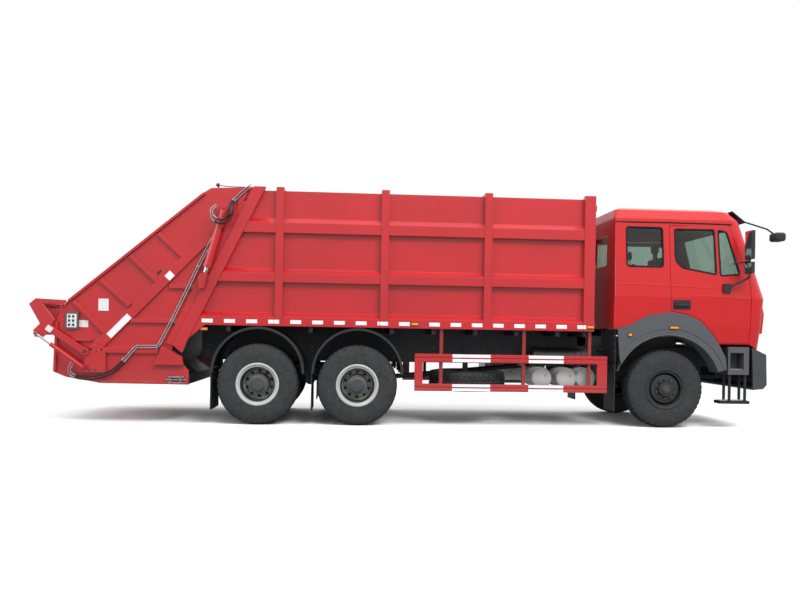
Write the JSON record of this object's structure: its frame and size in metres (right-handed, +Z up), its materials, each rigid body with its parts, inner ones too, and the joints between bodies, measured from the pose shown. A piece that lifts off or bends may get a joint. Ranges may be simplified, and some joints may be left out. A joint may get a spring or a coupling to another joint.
{
  "type": "garbage truck",
  "caption": "Rear loading garbage truck: tilting cab, ribbed load body with ejector plate, and a lifting tailgate with hopper, packer and bin lifter.",
  "frame": {"origin": "on the ground at the middle of the truck's length and width", "axes": "+X forward, +Y to the truck's left, +Z up"},
  "size_m": [10.813, 3.04, 3.344],
  "materials": {
    "red_paint": "gloss red enamel",
    "chassis_paint": "satin black",
    "cast_iron": "painted casting",
    "tank_metal": "satin",
    "tyre_rubber": "matte",
    "black_plastic": "grained",
    "grey_plastic": "satin grey",
    "rod_chrome": "polished",
    "silver_rim": "silver paint",
    "black_rim": "black paint",
    "seat_fabric": "woven",
    "window_glass": "tinted"
  },
  "bodies": {
    "root": {"frame_rails": "chassis_paint", "crossmembers": "chassis_paint", "front_axle": "chassis_paint", "leaf_springs": "chassis_paint", "rear_axles": "chassis_paint", "engine": "cast_iron", "driveline": "chassis_paint", "fuel_tank": "tank_metal", "air_tanks": "tank_metal", "silencer": "tank_metal", "spare_tyre": "tyre_rubber", "spare_carrier": "chassis_paint", "guard_bars": "red_paint", "guard_posts": "red_paint", "mudguards": "black_plastic", "front_bumper": "grey_plastic", "cab_steps": "chassis_paint", "body_floor": "chassis_paint", "body_sides": "red_paint", "body_roof": "red_paint", "body_front_wall": "red_paint", "rear_frame": "red_paint"},
    "ejector": {"ejector": "red_paint"},
    "tailgate": {"tailgate_sides": "red_paint", "tailgate_back": "red_paint", "hopper_trough": "red_paint"},
    "lift_barrels": {"lift_barrels": "red_paint"},
    "lift_rods": {"lift_rods": "rod_chrome"},
    "bin_lifter": {"bin_lifter": "red_paint"},
    "lifter_barrels": {"lifter_barrels": "red_paint"},
    "lifter_rods": {"lifter_rods": "rod_chrome"},
    "carriage": {"packing_carriage": "red_paint"},
    "blade": {"sweep_blade": "red_paint"},
    "cab": {"cab_shell": "red_paint", "cab_glass": "window_glass", "dashboard": "black_plastic", "seats": "seat_fabric", "arch_flares": "grey_plastic", "grille_panel": "red_paint", "sun_visor": "black_plastic"},
    "door_left": {"door_left": "red_paint", "door_glass_left": "window_glass", "mirrors_left": "black_plastic"},
    "knuckle_left": {"knuckle_left": "chassis_paint"},
    "front_wheel_left": {"front_tyre_left": "tyre_rubber", "front_rim_left": "black_rim"},
    "rear_wheel_1_left": {"rear_tyres_1_left": "tyre_rubber", "rear_rims_1_left": "silver_rim"},
    "rear_wheel_2_left": {"rear_tyres_2_left": "tyre_rubber", "rear_rims_2_left": "silver_rim"},
    "door_right": {"door_right": "red_paint", "door_glass_right": "window_glass", "mirrors_right": "black_plastic"},
    "knuckle_right": {"knuckle_right": "chassis_paint"},
    "front_wheel_right": {"front_tyre_right": "tyre_rubber", "front_rim_right": "black_rim"},
    "rear_wheel_1_right": {"rear_tyres_1_right": "tyre_rubber", "rear_rims_1_right": "silver_rim"},
    "rear_wheel_2_right": {"rear_tyres_2_right": "tyre_rubber", "rear_rims_2_right": "silver_rim"}
  },
  "joints": [
    {"name": "cab_tilt", "type": "hinge", "parent": "root", "child": "cab", "pos_m": [5.03, 0, 1], "axis": [0, 1, 0], "range_deg": [0, 50]},
    {"name": "door_left_hinge", "type": "hinge", "parent": "cab", "child": "door_left", "pos_m": [4.872, 1.226, 1.6], "axis": [0, 0, -1], "range_deg": [0, 70]},
    {"name": "steer_left", "type": "hinge", "parent": "root", "child": "knuckle_left", "pos_m": [3.63, 0.905, 0.57], "axis": [0, 0, 1], "range_deg": [-35, 35]},
    {"name": "front_wheel_left_spin", "type": "hinge", "parent": "knuckle_left", "child": "front_wheel_left", "pos_m": [3.63, 1.007, 0.57], "axis": [0, 1, 0], "continuous": true},
    {"name": "rear_wheel_1_left_spin", "type": "hinge", "parent": "root", "child": "rear_wheel_1_left", "pos_m": [-0.87, 0.9, 0.57], "axis": [0, 1, 0], "continuous": true},
    {"name": "rear_wheel_2_left_spin", "type": "hinge", "parent": "root", "child": "rear_wheel_2_left", "pos_m": [-2.27, 0.9, 0.57], "axis": [0, 1, 0], "continuous": true},
    {"name": "door_right_hinge", "type": "hinge", "parent": "cab", "child": "door_right", "pos_m": [4.872, -1.226, 1.6], "axis": [0, 0, 1], "range_deg": [0, 70]},
    {"name": "steer_right", "type": "hinge", "parent": "root", "child": "knuckle_right", "pos_m": [3.63, -0.905, 0.57], "axis": [0, 0, 1], "range_deg": [-35, 35]},
    {"name": "front_wheel_right_spin", "type": "hinge", "parent": "knuckle_right", "child": "front_wheel_right", "pos_m": [3.63, -1.007, 0.57], "axis": [0, 1, 0], "continuous": true},
    {"name": "rear_wheel_1_right_spin", "type": "hinge", "parent": "root", "child": "rear_wheel_1_right", "pos_m": [-0.87, -0.9, 0.57], "axis": [0, 1, 0], "continuous": true},
    {"name": "rear_wheel_2_right_spin", "type": "hinge", "parent": "root", "child": "rear_wheel_2_right", "pos_m": [-2.27, -0.9, 0.57], "axis": [0, 1, 0], "continuous": true},
    {"name": "tailgate_lift", "type": "hinge", "parent": "root", "child": "tailgate", "pos_m": [-2.308, 0, 3.306], "axis": [0, 1, 0], "range_deg": [0, 80]},
    {"name": "lift_barrel_turn", "type": "hinge", "parent": "tailgate", "child": "lift_barrels", "pos_m": [-2.75, 0, 3.01], "axis": [0, 1, 0], "range_deg": [-84, 0]},
    {"name": "lift_rod_slide", "type": "slide", "parent": "lift_barrels", "child": "lift_rods", "axis": [-0.2682, 0, -0.9634], "range_m": [0, 0.68]},
    {"name": "bin_lift", "type": "hinge", "parent": "tailgate", "child": "bin_lifter", "pos_m": [-4.639, 0, 0.998], "axis": [0, 1, 0], "range_deg": [-40, 35]},
    {"name": "lifter_barrel_turn", "type": "hinge", "parent": "tailgate", "child": "lifter_barrels", "pos_m": [-4.642, 0, 0.778], "axis": [0, 1, 0], "range_deg": [-35, 31]},
    {"name": "lifter_rod_slide", "type": "slide", "parent": "lifter_barrels", "child": "lifter_rods", "axis": [-0.8129, 0, 0.5824], "range_m": [-0.123, 0.108]},
    {"name": "packing_slide", "type": "slide", "parent": "tailgate", "child": "carriage", "axis": [0.6602, 0, 0.7511], "range_m": [0, 0.9]},
    {"name": "sweep_turn", "type": "hinge", "parent": "carriage", "child": "blade", "pos_m": [-4.05, 0, 1.58], "axis": [0, 1, 0], "range_deg": [-30, 80]},
    {"name": "ejector_push", "type": "slide", "parent": "root", "child": "ejector", "axis": [-1, 0, 0], "range_m": [0, 4.3]}
  ],
  "couplings": [
    {"joint": "steer_right", "follows": "steer_left", "ratio": 1},
    {"joint": "lift_barrel_turn", "follows": "tailgate_lift", "ratio": -1.0473},
    {"joint": "lift_rod_slide", "follows": "tailgate_lift", "m_per_rad": 0.48589},
    {"joint": "lifter_barrel_turn", "follows": "bin_lift", "ratio": 0.86},
    {"joint": "lifter_rod_slide", "follows": "bin_lift", "m_per_rad": 0.175}
  ]
}
